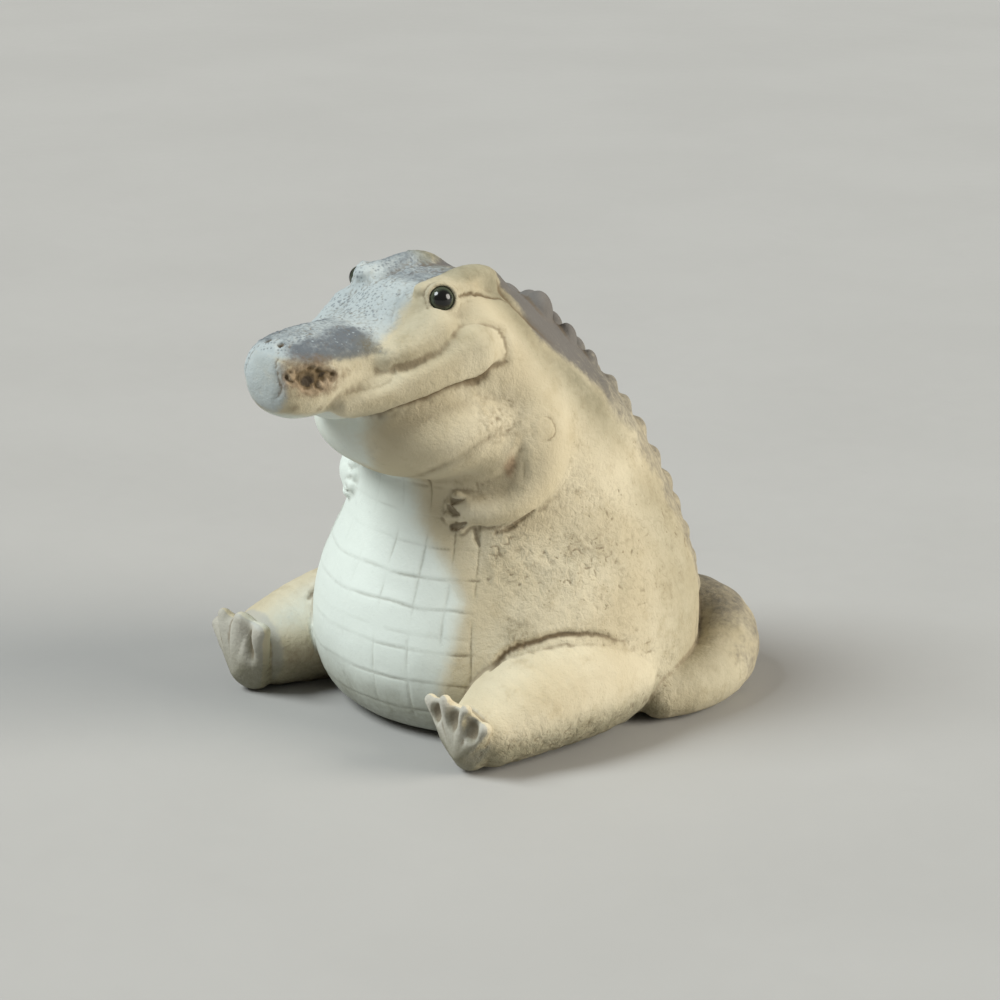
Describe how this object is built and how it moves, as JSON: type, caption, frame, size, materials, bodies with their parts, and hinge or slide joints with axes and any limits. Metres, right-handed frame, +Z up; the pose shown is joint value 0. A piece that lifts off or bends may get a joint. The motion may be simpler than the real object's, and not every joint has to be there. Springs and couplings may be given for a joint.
{
  "type": "crocodile tea pet",
  "caption": "Palm-sized stoneware figure of a fat seated crocodile with a scuted belly, hooked tail and inset glossy eyes, set on a tea tray as an ornament.",
  "frame": {"origin": "centre of the flat underside that the belly sits on", "axes": "+Z up, the snout points along -Y and the crocodile's left side is +X"},
  "size_m": [0.0643, 0.0813, 0.0674],
  "materials": {
    "stoneware": "unglazed matte, with a pale belly, blue-grey wash on snout and back, and brown stain in the creases",
    "eye_glaze": "glossy, very dark olive"
  },
  "bodies": {
    "root": {"crocodile": "stoneware", "left_eye": "eye_glaze", "right_eye": "eye_glaze"}
  },
  "joints": []
}
